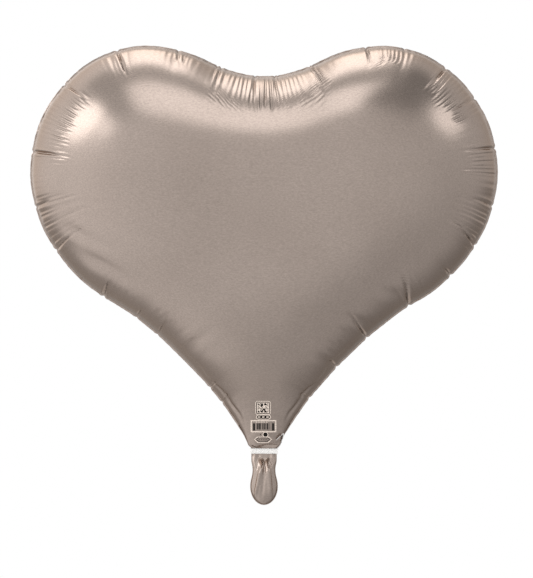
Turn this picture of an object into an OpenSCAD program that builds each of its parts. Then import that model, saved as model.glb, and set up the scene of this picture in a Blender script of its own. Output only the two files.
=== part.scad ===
// Heart-shaped foil balloon: two metallised films sealed at the rim, a flat-film
// valve inside the neck, a filling tail below it and a ribbon tied round the neck.
// Millimetres. +Z is up, -Y is the front. The origin is the middle of the tied neck.

/* [Heart] */
// Width of the inflated heart over its seal margin
heart_w = 622; // [520:1:700]
// Height of the two lobes above the tie
heart_h = 540; // [480:1:620]
// How far the cleft lies below the lobes
cleft_drop = 40; // [20:1:60]
// Greatest thickness of the inflated heart, front to back
heart_depth = 300; // [220:1:330]
// Thickness that each film is drawn with
film_t = 0.6; // [0.5:0.1:0.8]
// Width of the heat-sealed margin round the heart
margin_w = 4; // [3:0.5:6]

/* [Neck and tie] */
// Width of the gathered neck under the tie
neck_w = 34; // [30:1:38]
// Thickness of the gathered neck under the tie
neck_depth = 2.4; // [2.2:0.1:2.8]
// Width of the tie ribbon
ribbon_w = 6; // [4:0.5:6]
// Thickness of the ribbon's turns round the neck
wrap_t = 0.8; // [0.5:0.1:1]
// Length of each cut end of the ribbon
ribbon_end_l = 22; // [15:1:25]

/* [Tail] */
// Distance from the tie down to the tail's round end
tail_l = 72; // [68:1:80]
// Width of the tail at its bulb
tail_w = 37; // [36:1:40]
// Width of the tail between the tie and the bulb
tail_waist_w = 30.5; // [29:0.5:32]
// Thickness of the tail at its bulb
tail_depth = 28; // [26:1:30]

/* [Valve] */
// Width of the flat valve films
valve_w = 24; // [20:1:26]
// Height to which the valve films reach above the tie
valve_h = 85; // [60:1:110]
// Diameter of the filling hole in the back of the tail
inlet_d = 8; // [6:0.5:9]

/* [Hidden] */

foil_colour = [0.66, 0.58, 0.53];
film_colour = [0.88, 0.90, 0.90];
ribbon_colour = [0.97, 0.97, 0.96];

eps = 0.01;
seg_n = 11;                              // rows in each stretch of the outline
fold_gap = 2.4;                          // room at the fold, so that the tail can turn
neck_top = 4;                            // the neck is straight up to here
neck_bottom = -ribbon_w / 2 - 1.2;       // and down to the fold
tail_top = neck_bottom - fold_gap;
neck_margin = 0.4;                       // the margin is gathered in at the neck
margin_grow = 45;                        // height over which it regains its width

// Stations across the heart, from the rim (0) to the middle (1), closer at the rim.
across = [0.012, 0.05, 0.11, 0.2, 0.32, 0.46, 0.62, 0.8, 1];

// A cubic Bezier's point at t.
function bez(p, t) =
    pow(1 - t, 3) * p[0] + 3 * t * pow(1 - t, 2) * p[1]
    + 3 * t * t * (1 - t) * p[2] + pow(t, 3) * p[3];

function polar(r, a) = [r * cos(a), r * sin(a)];

// ---- Heart outline: right half, from the cleft over the lobe and down to the neck ----
cleft = [0.3, heart_h - cleft_drop];
lobe = [0.256 * heart_w, heart_h];
side = [heart_w / 2, 0.693 * heart_h];
flank = [0.325 * heart_w, 0.369 * heart_h];
neck = [neck_w / 2, neck_top];
flank_dir = 28.5;                        // the flank's slope, in degrees
neck_dir = 66;                           // the outline's slope where it meets the neck
neck_reach = 70;                         // and how far that slope is held

outline_parts = [
    [cleft, cleft + [0.105 * heart_w, 0], lobe - [0.122 * heart_w, 0], lobe],
    [lobe, lobe + [0.127 * heart_w, 0], side + [0, 0.167 * heart_h], side],
    [side, side - [0, 0.161 * heart_h], flank + polar(0.086 * heart_w, flank_dir), flank],
    [flank, flank - polar(0.106 * heart_w, flank_dir), neck + polar(neck_reach, neck_dir), neck]
];
// Height on the middle line to which each stretch of the outline runs across.
mid_top = cleft[1] - margin_w - 3;
mid_heights = [mid_top, 0.72 * heart_h, 0.61 * heart_h, 0.46 * heart_h, neck_top];

// Each row is [outline point, height where it meets the middle line].
heart_rows = concat(
    [for (s = [0:3]) for (k = [0:seg_n - 1]) let (t = k / seg_n)
        [bez(outline_parts[s], t), (1 - t) * mid_heights[s] + t * mid_heights[s + 1]]],
    [for (z = [neck_top, 0, neck_bottom]) [[neck_w / 2, z], z]]
);

// Half thickness of the heart on its middle line at height z.
fullest_z = 0.6 * heart_h;
function mid_depth(z) =
    z <= neck_top ? neck_depth / 2
    : z < fullest_z
        ? neck_depth / 2 + (heart_depth - neck_depth) / 2
            * pow(sin(90 * (z - neck_top) / (fullest_z - neck_top)), 0.9)
        : heart_depth / 2
            * pow(max(0, 1 - pow((z - fullest_z) / (mid_top - fullest_z), 2.2)), 0.5);

// Share of the middle's thickness at a station across the row.
function bulge(f) = sqrt(1 - pow(1 - f, 2.2));

// Outward direction of the outline at row i, square to it.
function row_normal(rows, i) =
    let (a = rows[max(0, i - 1)][0], b = rows[min(len(rows) - 1, i + 1)][0], d = b - a)
    i == 0 ? [0, 1] : [-d[1], d[0]] / norm(d);

function heart_margin(z) =
    neck_margin + (margin_w - neck_margin) * min(1, max(0, (z - neck_top) / margin_grow));

// ---- A half shell skinned over rows: rim margin, then the film over the gas ----
// Each row gives the outer line and the inner line from the right rim to the middle.
function outer_line(rim, out, margin, mid, depth) =
    let (seam = rim - out * margin)
    concat(
        [[rim[0], 0, rim[1]], [rim[0], film_t, rim[1]], [seam[0], film_t, seam[1]]],
        [for (f = across) let (p = seam + (mid - seam) * f)
            [p[0], film_t + (depth - film_t) * bulge(f), p[1]]]
    );

function inner_line(rim, out, margin, mid, depth) =
    let (seam = rim - out * margin, in = seam - out * film_t)
    concat(
        [[seam[0] + out[0] * margin / 2, 0, seam[1] + out[1] * margin / 2],
         [seam[0], 0, seam[1]], [in[0], 0, in[1]]],
        [for (f = across) let (p = in + (mid - in) * f)
            [p[0], (depth - film_t) * bulge(f), p[1]]]
    );

// The line from the right rim over the middle to the left rim.
function whole_line(half) =
    concat(half, [for (k = [len(half) - 2:-1:0]) [-half[k][0], half[k][1], half[k][2]]]);

// Skin over pairs of [outer line, inner line]; side is -1 for the front, 1 for the back.
module half_shell(lines, side) {
    m = len(lines[0][0]);
    n = len(lines);
    points = [for (r = lines) each concat(
        [for (p = r[0]) [p[0], side * p[1], p[2]]],
        [for (p = r[1]) [p[0], side * p[1], p[2]]]
    )];
    function at(i, layer, j) = (i * 2 + layer) * m + j;
    // An end's quad, started at its corner k so that neither triangle is flat.
    function end_quad(q, k) = [for (c = [0:3]) q[(c + k) % 4]];
    quads = concat(
        [for (i = [0:n - 2]) for (j = [0:m - 2])
            [at(i, 0, j), at(i + 1, 0, j), at(i + 1, 0, j + 1), at(i, 0, j + 1)]],
        [for (i = [0:n - 2]) for (j = [0:m - 2])
            [at(i, 1, j + 1), at(i + 1, 1, j + 1), at(i + 1, 1, j), at(i, 1, j)]],
        [for (i = [0:n - 2])
            [at(i, 0, 0), at(i, 1, 0), at(i + 1, 1, 0), at(i + 1, 0, 0)]],
        [for (i = [0:n - 2])
            [at(i, 0, m - 1), at(i + 1, 0, m - 1), at(i + 1, 1, m - 1), at(i, 1, m - 1)]],
        [for (j = [0:m - 2]) end_quad(
            [at(0, 0, j), at(0, 0, j + 1), at(0, 1, j + 1), at(0, 1, j)], j == 0 ? 1 : 0)],
        [for (j = [0:m - 2]) end_quad(
            [at(n - 1, 0, j + 1), at(n - 1, 0, j), at(n - 1, 1, j), at(n - 1, 1, j + 1)],
            j == 0 ? 0 : 1)]
    );
    faces = [for (q = quads) each [[q[0], q[1], q[2]], [q[0], q[2], q[3]]]];
    turned = [for (f = faces) side < 0 ? f : [f[2], f[1], f[0]]];
    polyhedron(points, turned, convexity = 6);
}

heart_lines = [for (i = [0:len(heart_rows) - 1])
    let (r = heart_rows[i], out = row_normal(heart_rows, i), margin = heart_margin(r[0][1]),
         mid = [0, r[1]], depth = max(mid_depth(r[1]), 2 * film_t))
    [whole_line(outer_line(r[0], out, margin, mid, depth)),
     whole_line(inner_line(r[0], out, margin, mid, depth))]];

// ---- Tail: level rows down to a round end ----
tail_rows_n = 18;
bulb_z = -0.66 * tail_l;
waist_z = -0.34 * tail_l;
tail_margin = 1.6;
end_half_w = 2.5;                        // half width of the last row, at the round end

// Height and half width of the tail at share t of the way down, in two stretches.
function tail_height(t) =
    t < 0.6 ? tail_top + (bulb_z - tail_top) * t / 0.6
            : bulb_z + (-tail_l - bulb_z) * sin(90 * (t - 0.6) / 0.4);
function ease(a, b, z, za, zb) =
    a + (b - a) * (1 - cos(180 * min(1, max(0, (z - za) / (zb - za))))) / 2;
function tail_half_w(z) =
    z > waist_z ? ease(neck_w / 2 - 0.5, tail_waist_w / 2, z, tail_top, waist_z)
    : z > bulb_z ? ease(tail_waist_w / 2, tail_w / 2, z, waist_z, bulb_z)
    : max(end_half_w, tail_w / 2 * sqrt(max(0, 1 - pow((z - bulb_z) / (-tail_l - bulb_z), 2))));
function tail_half_depth(z) =
    z > bulb_z
        ? neck_depth / 2 + (tail_depth - neck_depth) / 2
            * sin(90 * pow((z - tail_top) / (bulb_z - tail_top), 0.75))
        : max(2 * film_t, tail_depth / 2
            * sqrt(max(0, 1 - pow((z - bulb_z) / (-tail_l - bulb_z), 2))));

tail_lines = [for (i = [0:tail_rows_n])
    let (z = tail_height(i / tail_rows_n), w = tail_half_w(z),
         margin = min(tail_margin, 0.12 * w, neck_margin + 0.1 * (tail_top - z)),
         depth = tail_half_depth(z))
    [whole_line(outer_line([w, z], [1, 0], margin, [0, z], depth)),
     whole_line(inner_line([w, z], [1, 0], margin, [0, z], depth))]];

// ---- Valve and inlet ----
inlet_z = bulb_z;
mouth_r = inlet_d / 2 + 2;               // the valve's mouth is bonded round the hole
mouth_t = 1;
mouth_y = tail_depth / 2 - film_t - 1;   // and lies just inside the film
valve_film_t = 0.25;
valve_slit = 0.02;                       // half the slit between the two films
sleeve_lap = 1.5;                        // length of the sleeve's flat top edge
sleeve_wall = 0.2;

module front_foil() {
    color(foil_colour) half_shell(heart_lines, -1);
}

module back_foil() {
    color(foil_colour) half_shell(heart_lines, 1);
}

module front_tail_foil() {
    color(foil_colour) half_shell(tail_lines, -1);
}

// The back of the tail has the filling hole, over the valve's mouth.
module back_tail_foil() {
    color(foil_colour) difference() {
        half_shell(tail_lines, 1);
        translate([0, mouth_y, inlet_z]) rotate([-90, 0, 0])
            cylinder(h = 4, d = inlet_d, $fn = 48);
    }
}

// One of the two flat films that press together above the tie; side is -1 or 1.
module valve_film(side) {
    y = side < 0 ? -valve_slit - valve_film_t : valve_slit;
    color(film_colour) translate([-valve_w / 2, y, neck_bottom])
        cube([valve_w, valve_film_t, valve_h - neck_bottom]);
}

// The valve's mouth: a soft sleeve from the filling hole up to the fold at the tie.
module valve_inlet_sleeve() {
    module sleeve(wall, run_out) {
        half_t = valve_slit + valve_film_t - wall;
        hull() {
            translate([-valve_w / 2 + wall, -half_t, tail_top - sleeve_lap])
                cube([valve_w - 2 * wall, 2 * half_t, sleeve_lap + run_out]);
            translate([0, mouth_y - mouth_t, inlet_z]) rotate([-90, 0, 0])
                cylinder(h = mouth_t + run_out, r = mouth_r - wall, $fn = 32);
        }
    }
    color(film_colour) difference() {
        sleeve(0, 0);
        sleeve(sleeve_wall, eps);
    }
}

// ---- Tie ribbon: the turns round the neck, the knot behind and two cut ends ----
ring_gap = 0.1;

module stadium(half_w, half_d) {
    union() {
        square([2 * (half_w - half_d), 2 * half_d], center = true);
        for (s = [-1, 1]) translate([s * (half_w - half_d), 0]) circle(r = half_d, $fn = 32);
    }
}

module tie_ribbon() {
    half_w = neck_w / 2 + ring_gap + neck_depth / 4;
    half_d = neck_depth / 2 + ring_gap;
    knot_x = 8;
    knot_r = 2.6;
    knot_y = half_d + knot_r + 0.2;
    color(ribbon_colour) union() {
        difference() {
            translate([0, 0, -ribbon_w / 2]) linear_extrude(ribbon_w)
                stadium(half_w + wrap_t, half_d + wrap_t);
            translate([0, 0, -ribbon_w / 2 - 1]) linear_extrude(ribbon_w + 2)
                stadium(half_w, half_d);
        }
        translate([knot_x, knot_y, 0]) sphere(r = knot_r, $fn = 32);
        // the end that shows at the right of the neck
        translate([half_w - 2, -half_d - wrap_t / 2, 0]) rotate([25, 38, 0])
            translate([-ribbon_w / 2 + 1, -0.25, 0]) cube([ribbon_w - 1, 0.5, ribbon_end_l]);
        // the end behind, which leaves the knot
        translate([knot_x, knot_y, 0]) rotate([-48, -14, 0])
            translate([-ribbon_w / 2 + 1, -0.25, 0]) cube([ribbon_w - 1, 0.5, ribbon_end_l]);
    }
}

front_foil();
back_foil();
front_tail_foil();
back_tail_foil();
valve_film(-1);  // valve_front_film
valve_film(1);  // valve_back_film
valve_inlet_sleeve();
tie_ribbon();
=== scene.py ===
"""Looks of a heart-shaped foil balloon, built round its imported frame.

Lengths are in metres. x runs across the heart, -y is the front and z is up from the tied neck.
"""
import math

import bmesh
import bpy
import numpy as np
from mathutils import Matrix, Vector, kdtree


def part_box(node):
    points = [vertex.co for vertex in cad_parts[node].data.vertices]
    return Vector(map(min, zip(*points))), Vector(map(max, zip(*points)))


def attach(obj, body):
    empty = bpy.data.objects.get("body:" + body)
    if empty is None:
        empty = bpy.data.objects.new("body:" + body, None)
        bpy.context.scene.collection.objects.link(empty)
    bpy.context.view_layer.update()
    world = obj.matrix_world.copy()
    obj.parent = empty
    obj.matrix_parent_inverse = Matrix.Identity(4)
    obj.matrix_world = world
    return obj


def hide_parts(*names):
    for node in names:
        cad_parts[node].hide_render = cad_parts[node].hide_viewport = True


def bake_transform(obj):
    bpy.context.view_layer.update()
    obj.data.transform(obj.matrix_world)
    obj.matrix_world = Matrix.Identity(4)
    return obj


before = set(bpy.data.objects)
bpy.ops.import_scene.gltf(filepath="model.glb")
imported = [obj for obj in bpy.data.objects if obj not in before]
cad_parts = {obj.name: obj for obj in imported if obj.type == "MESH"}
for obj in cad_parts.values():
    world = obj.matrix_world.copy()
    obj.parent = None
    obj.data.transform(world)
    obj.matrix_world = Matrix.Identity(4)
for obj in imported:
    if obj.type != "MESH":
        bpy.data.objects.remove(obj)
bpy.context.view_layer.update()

MM = 0.001
SEED = 7
QUARTER_ARC = 0.5523            # handle of a Bezier curve that draws a quarter of a circle

# ---- Sizes, from the frame ----
HEART_LOW, HEART_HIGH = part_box("front_foil")
TAIL_LOW, TAIL_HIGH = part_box("front_tail_foil")
KNOT = Vector((8 * MM, 3.75 * MM, 0))          # middle of the ribbon's knot, behind the neck

HEART_W = HEART_HIGH.x - HEART_LOW.x
HEART_H = HEART_HIGH.z
HALF_DEPTH = -HEART_LOW.y
TAIL_L = -TAIL_LOW.z
BULB_W = TAIL_HIGH.x - TAIL_LOW.x
FOLD_Z = (HEART_LOW.z + TAIL_HIGH.z) / 2
CLEFT_Z = HEART_H - 40 * MM
NECK_HALF_W = 17 * MM
NECK_TOP_Z = 3.2 * MM
WAIST_HALF_W = 15.25 * MM
WAIST_Z = -0.34 * TAIL_L
BULB_Z = -0.66 * TAIL_L
RIBBON_W = 6 * MM
HOLE_R = 4 * MM                # filling hole in the back of the tail

# ---- Resolution of the foil ----
ROW_STEP = 1.1 * MM            # along the rim of the heart
COMB_STEP = 0.65 * MM          # the same from the cleft to the end of its pleats
COMB_END = 90 * MM
TAIL_STEP = 1.0 * MM           # along the rim of the neck and tail
STATIONS = 60                  # from the seam to the middle line
CURVE_POINTS = 300             # on each stretch of the outline
COARSE_ROWS = 100              # the grid that the membrane is solved on
COARSE_STATIONS = 22
FILM_T = 0.14 * MM
VALVE_FILM_T = 0.08 * MM
RIBBON_T = 0.22 * MM


# ---- Small tools ----
def bezier(p0, p1, p2, p3):
    """Points along a cubic curve, without its last one."""
    t = np.linspace(0, 1, CURVE_POINTS, endpoint=False)[:, None]
    p0, p1, p2, p3 = (np.asarray(p, float) for p in (p0, p1, p2, p3))
    return (1 - t) ** 3 * p0 + 3 * (1 - t) ** 2 * t * p1 + 3 * (1 - t) * t * t * p2 + t ** 3 * p3


def polar(radius, degrees):
    a = math.radians(degrees)
    return np.array([radius * math.cos(a), radius * math.sin(a)])


def arc_length(points):
    return np.concatenate([[0], np.cumsum(np.linalg.norm(np.diff(points, axis=0), axis=1))])


def smoothstep(x, low, high):
    t = np.clip((x - low) / (high - low), 0, 1)
    return t * t * (3 - 2 * t)


def smooth_rows(values, width):
    """Gaussian smoothing along an array, its two ends held."""
    reach = int(3 * width) + 1
    weight = np.exp(-0.5 * (np.arange(-reach, reach + 1) / width) ** 2)
    weight /= weight.sum()
    padded = np.concatenate([2 * values[0] - values[reach:0:-1], values,
                             2 * values[-1] - values[-2:-reach - 2:-1]])
    return np.convolve(padded, weight, "valid")


def wave_noise(x, rng, pitch, terms=6):
    """A smooth random wave along x, about one high, its ripples near pitch long."""
    total = np.zeros_like(x)
    for _ in range(terms):
        length = pitch * rng.uniform(0.6, 1.8)
        total += np.sin(2 * np.pi * (x / length + rng.uniform()))
    return total / math.sqrt(terms / 2)


def mix(a, b, share):
    return a * (1 - share) + b * share


def add_object(name, data):
    obj = bpy.data.objects.new(name, data)
    bpy.context.scene.collection.objects.link(obj)
    return obj


def grid_faces(index, flip=False):
    """Quads between the points of a grid of indices, turned over if flip is set."""
    a, b, c, d = index[:-1, :-1], index[1:, :-1], index[1:, 1:], index[:-1, 1:]
    return np.stack([a, d, c, b] if flip else [a, b, c, d], -1).reshape(-1, 4)


def point_normals(points, faces):
    """Normal at each point, from the faces round it by their area."""
    corners = [points[faces[:, k]] for k in range(4)]
    face_normals = np.cross(corners[2] - corners[0], corners[3] - corners[1])
    normals = np.zeros_like(points)
    for k in range(4):
        np.add.at(normals, faces[:, k], face_normals)
    return normals / np.maximum(np.linalg.norm(normals, axis=1, keepdims=True), 1e-15)


# ---- Outline of the foil: right half, from the cleft to the end of the tail ----
def half_outline():
    """Outer edge of the margin, with the arc length and middle-line height at its joints."""
    cleft = np.array([0, CLEFT_Z])
    lobe = np.array([0.256 * HEART_W, HEART_H])
    side = np.array([HEART_W / 2, 0.693 * HEART_H])
    flank = np.array([0.325 * HEART_W, 0.369 * HEART_H])
    shoulder = np.array([21.5 * MM, 9 * MM])
    neck = np.array([NECK_HALF_W, NECK_TOP_Z])
    fold = np.array([NECK_HALF_W, 2 * FOLD_Z])
    waist = np.array([WAIST_HALF_W, WAIST_Z])
    bulb = np.array([BULB_W / 2, BULB_Z])
    end = np.array([0, -TAIL_L])
    ease = 0.45 * (BULB_Z - WAIST_Z)
    round_x, round_z = QUARTER_ARC * BULB_W / 2, QUARTER_ARC * (TAIL_L + BULB_Z)
    right, up = np.array([1.0, 0]), np.array([0, 1.0])
    stretches = [
        (cleft, cleft + 0.105 * HEART_W * right, lobe - 0.122 * HEART_W * right, lobe),
        (lobe, lobe + 0.127 * HEART_W * right, side + 0.167 * HEART_H * up, side),
        (side, side - 0.161 * HEART_H * up, flank + polar(0.086 * HEART_W, 28.5), flank),
        (flank, flank - polar(0.106 * HEART_W, 28.5), shoulder + polar(62 * MM, 68.5), shoulder),
        (shoulder, shoulder - 3 * MM * up - 0.9 * MM * right, neck + 2.4 * MM * up, neck),
        (neck, neck + (fold - neck) / 3, fold - (fold - neck) / 3, fold),
        (fold, fold - 0.006 * up, waist + 0.006 * up, waist),
        (waist, waist + ease * up, bulb - ease * up, bulb),
        (bulb, bulb - round_z * up, end + round_x * right, end),
    ]
    middle = [CLEFT_Z - 46 * MM, 0.71 * HEART_H, 0.60 * HEART_H, 0.46 * HEART_H, 8 * MM, NECK_TOP_Z,
              2 * FOLD_Z, WAIST_Z, BULB_Z, -TAIL_L + 4 * MM]
    points = np.vstack([bezier(*s) for s in stretches] + [end[None]])
    along = arc_length(points)
    joints = along[[CURVE_POINTS * k for k in range(len(stretches) + 1)]]
    return points, along, joints, np.array(middle)


class Rows:
    """The rows of the foil's grid: rim point, outward direction and middle-line height."""

    def __init__(self):
        points, along, joints, middle = half_outline()
        self.neck_at = joints[5]
        self.length = joints[-1]
        n_heart = int((self.neck_at - COMB_END) / ROW_STEP)
        n_tail = int((self.length - self.neck_at) / TAIL_STEP)
        at = np.concatenate([np.arange(0, COMB_END, COMB_STEP),
                             np.linspace(COMB_END, self.neck_at, n_heart, endpoint=False),
                             np.linspace(self.neck_at, self.length, n_tail + 1)])
        self.count = len(at)
        # rows close up gradually where the neck begins
        at = smooth_rows(at, 9)
        at[0], at[-1] = 0, self.length
        self.at = at
        self.rim = np.stack([np.interp(at, along, points[:, k]) for k in (0, 1)], 1)
        tangent = np.gradient(self.rim, axis=0)
        tangent[0], tangent[-1] = (1, 0), (-1, 0)
        tangent /= np.linalg.norm(tangent, axis=1)[:, None]
        self.out = np.stack([-tangent[:, 1], tangent[:, 0]], 1)
        height = np.interp(at, joints, middle)
        share = smoothstep(at, self.neck_at - 0.16, self.neck_at - 0.05)
        height = mix(smooth_rows(height, 38), smooth_rows(height, 7), share)
        height[0], height[-1] = middle[0], middle[-1]
        self.middle = np.stack([np.zeros(self.count), height], 1)
        z = self.rim[:, 1]
        drawn_in = smoothstep(np.abs(z), 4 * MM, 45 * MM)
        self.margin = np.where(z > 0, 0.5 + 1.9 * drawn_in, 0.5 + 0.9 * drawn_in) * MM
        self.seam = self.rim - self.out * self.margin[:, None]


def station_shares(count, crowding=1.25):
    """Shares of the way from the seam to the middle line, closer where the foil is steep."""
    t = np.linspace(0, 1, count)
    return 1 - np.cos(np.pi / 2 * t ** crowding)


# ---- Pillow shape: a membrane solved over the outline, then rounded like a gas-filled film ----
def solve_membrane(px, pz):
    """Deflection of an even-loaded membrane on a grid whose first column is held at 0."""
    rows, cols = px.shape
    index = np.arange(rows * cols).reshape(rows, cols)
    quads = grid_faces(index)
    tris = np.concatenate([quads[:, :3], quads[:, [0, 2, 3]]])
    xy = np.stack([px.ravel(), pz.ravel()], 1)
    p, q, r = xy[tris[:, 0]], xy[tris[:, 1]], xy[tris[:, 2]]
    area = 0.5 * np.abs((q[:, 0] - p[:, 0]) * (r[:, 1] - p[:, 1])
                        - (q[:, 1] - p[:, 1]) * (r[:, 0] - p[:, 0]))
    keep = area > 1e-12
    tris, p, q, r, area = (v[keep] for v in (tris, p, q, r, area))
    edges = np.stack([r - q, p - r, q - p], 1)
    n = rows * cols
    stiff = np.zeros((n, n))
    load = np.zeros(n)
    for i in range(3):
        np.add.at(load, tris[:, i], area / 3)
        for j in range(3):
            np.add.at(stiff, (tris[:, i], tris[:, j]),
                      (edges[:, i] * edges[:, j]).sum(1) / (4 * area))
    free = np.zeros(n, bool)
    free[tris.ravel()] = True
    free[index[:, 0]] = False
    out = np.zeros(n)
    out[free] = np.linalg.solve(stiff[np.ix_(free, free)], load[free])
    return out.reshape(rows, cols)


def cubic_sample(values, at, axis):
    """Catmull-Rom samples of an array along one axis, at places counted in its cells."""
    values = np.moveaxis(values, axis, 0)
    n = len(values)
    k = np.clip(np.floor(at).astype(int), 0, n - 2)
    t = (at - k).reshape((-1,) + (1,) * (values.ndim - 1))

    def row(j):
        inside = values[np.clip(j, 0, n - 1)]
        low = (j < 0).reshape(t.shape)
        high = (j > n - 1).reshape(t.shape)
        before = 3 * values[0] - 3 * values[1] + values[2]
        after = 3 * values[-1] - 3 * values[-2] + values[-3]
        return np.where(high, after, np.where(low, before, inside))

    a, b, c, d = row(k - 1), row(k), row(k + 1), row(k + 2)
    out = b + 0.5 * t * (c - a + t * (2 * a - 5 * b + 4 * c - d + t * (3 * (b - c) + d - a)))
    return np.moveaxis(out, 0, axis)


def rim_coordinates(px, pz):
    """For every grid point the place of its nearest rim point along the outline, and how far."""
    points, along, _, _ = half_outline()
    at = np.arange(0, along[-1], 0.5 * MM)
    rim = np.stack([np.interp(at, along, points[:, k]) for k in (0, 1)], 1)
    tangent = np.gradient(rim, axis=0)
    tangent[0] = (1, 0)
    tangent /= np.linalg.norm(tangent, axis=1)[:, None]
    tree = kdtree.KDTree(len(rim))
    for k, p in enumerate(rim):
        tree.insert((*p, 0), k)
    tree.balance()
    flat = np.stack([px.ravel(), pz.ravel()], 1)
    near = np.array([tree.find((*p, 0))[1] for p in flat])
    off = flat - rim[near]
    s = at[near] + (off * tangent[near]).sum(1)
    d = off[:, 0] * tangent[near][:, 1] - off[:, 1] * tangent[near][:, 0]
    return np.clip(s, 0, None).reshape(px.shape), np.abs(d).reshape(px.shape)


def pillow_half(rows, shares):
    """Half thickness of the balloon over the fine grid, and the grid's x and z."""
    px = rows.seam[:, :1] + (rows.middle - rows.seam)[:, :1] * shares
    pz = rows.seam[:, 1:] + (rows.middle - rows.seam)[:, 1:] * shares
    # the neck and tail are narrow, so they get a third of the coarse rows
    neck_row = np.searchsorted(rows.at, rows.neck_at)
    knee = int(COARSE_ROWS * 0.68)
    row_at = np.interp(np.arange(COARSE_ROWS), [0, knee, COARSE_ROWS - 1],
                       [0, neck_row, rows.count - 1])
    row_at = smooth_rows(row_at, 3)
    row_at[0], row_at[-1] = 0, rows.count - 1
    t = np.linspace(0, 1, COARSE_STATIONS)
    coarse_share = t * (0.4 + 0.6 * t)
    seam = cubic_sample(rows.seam, row_at, 0)
    middle = cubic_sample(rows.middle, row_at, 0)
    cx = seam[:, :1] + (middle - seam)[:, :1] * coarse_share
    cz = seam[:, 1:] + (middle - seam)[:, 1:] * coarse_share
    u = solve_membrane(cx, cz)
    # divided by its rise at the seam the deflection is smooth enough to interpolate
    rise = coarse_share * (2 - coarse_share)
    ratio = np.empty_like(u)
    ratio[:, 1:] = u[:, 1:] / rise[1:]
    ratio[:, 0] = 2 * ratio[:, 1] - ratio[:, 2]
    fine_t = (-0.4 + np.sqrt(0.16 + 2.4 * shares)) / 1.2
    ratio = cubic_sample(ratio, fine_t * (COARSE_STATIONS - 1), 1)
    back = np.interp(np.arange(rows.count), row_at, np.arange(COARSE_ROWS))
    ratio = cubic_sample(ratio, back, 0)
    u = np.clip(ratio * shares * (2 - shares), 0, None)
    return px, pz, u


def heal(px, pz, thick, centre_z):
    """Evens the thickness round the point where the first row of the grid meets the middle line."""
    x, z = px / (10 * MM), (pz - centre_z) / (20 * MM)
    ring = (x > 0.4) & (x < 1.6) & (np.abs(z) < 1.4)

    def terms(x, z):
        return np.stack([z ** 0, z, z ** 2, z ** 3, x ** 2, x ** 2 * z], -1)
    fit = np.linalg.lstsq(terms(x[ring], z[ring]), thick[ring], rcond=None)[0]
    share = (1 - smoothstep(x, 0.5, 1.1)) * (1 - smoothstep(np.abs(z), 0.5, 1.0))
    return mix(thick, terms(x, z) @ fit, share)


def half_thickness(rows, shares):
    px, pz, u = pillow_half(rows, shares)
    heart = HALF_DEPTH * np.sqrt(1 - (1 - np.clip(u / u.max(), 0, 1)) ** 1.5)
    tail_u = u[rows.rim[:, 1] < WAIST_Z].max()
    tail = 13.8 * MM * np.sqrt(1 - (1 - np.clip(u / tail_u, 0, 1)) ** 1.2)
    heart = heal(px, pz, heart, rows.middle[0, 1])
    # the middle line rises from the tie as a cone, and the rows follow it
    z, own = pz[:, -1], heart[:, -1]
    share = smoothstep(z, 30 * MM, 130 * MM)
    wanted = mix(cone_profile(z), own, share)
    low = z < 130 * MM
    ratio = np.ones(rows.count)
    ratio[low] = wanted[low] / own[low]
    order = np.argsort(z)
    heart *= np.interp(pz, z[order], ratio[order])
    tail *= 0.09 + 0.91 * smoothstep(-pz, 5 * MM, 30 * MM)
    is_tail = smoothstep(-pz, 1 * MM, 5 * MM)
    return px, pz, mix(heart, tail, is_tail)


def cone_profile(z):
    """Half thickness on the middle line just above the tie, where the foil bulges over it."""
    rise = np.clip(z - 3.2 * MM, 0, None)
    return 1.2 * MM + 3.2 * MM * (1 - np.exp(-rise / (2.2 * MM))) + 0.50 * rise


# ---- Creases ----
# Places are millimetres along the outline from the cleft, positive on the right half and
# negative on the left. Radial creases: place, reach towards the middle, slant (how far the
# inner end lies further from the cleft), depth and width.
CREASES = [
    (14, 52, 1, 2.0, 1.9), (18, 46, 1, 1.3, 1.6), (62, 50, 5, 2.3, 2.2), (66, 46, 7, 1.6, 1.8),
    (142, 32, 3, 2.6, 2.2), (194, 18, 3, 1.6, 2.2), (256, 42, -6, 2.8, 2.6),
    (312, 32, -2, 2.2, 2.4), (384, 46, -4, 2.6, 2.6), (462, 30, -2, 2.2, 2.4),
    (520, 46, -16, 2.8, 2.6), (571, 14, 0, 3.0, 2.8), (640, 58, -18, 3.2, 2.8),
    (711, 46, -5, 2.6, 2.6), (767, 12, 0, 2.6, 2.6), (822, 14, 4, 1.6, 2.4),
    (-12, 50, -2, 2.1, 2.0), (-58, 50, -5, 2.4, 2.2), (-64, 46, -6, 1.7, 1.9),
    (-120, 22, -10, 2.0, 2.2), (-203, 42, -5, 2.8, 2.6), (-288, 40, -6, 2.8, 2.6),
    (-389, 54, 2, 2.8, 2.6), (-463, 34, -3, 2.2, 2.4), (-527, 46, -6, 2.6, 2.6),
    (-616, 24, -5, 2.8, 2.6), (-668, 14, 0, 1.8, 2.6), (-704, 30, -5, 1.8, 2.6),
    (-804, 12, -3, 2.2, 2.4), (-829, 12, -6, 2.2, 2.4),
]
# Combs of fine pleats: from, to, reach, pitch and depth.
COMBS = [
    (-54, 62, 60, 5.0, 1.25), (138, 200, 28, 5.8, 1.6), (250, 332, 44, 6.2, 1.8),
    (378, 428, 46, 5.8, 1.3), (466, 534, 54, 6.6, 1.8), (600, 652, 40, 8.0, 1.0),
    (-124, -98, 26, 5.4, 1.2), (-214, -190, 40, 5.8, 1.3), (-404, -284, 46, 6.0, 1.35),
    (-536, -452, 62, 6.8, 2.0), (-640, -590, 34, 8.0, 0.9), (690, 760, 30, 9.0, 0.9),
    (-750, -680, 30, 9.0, 0.9),
]


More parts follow.
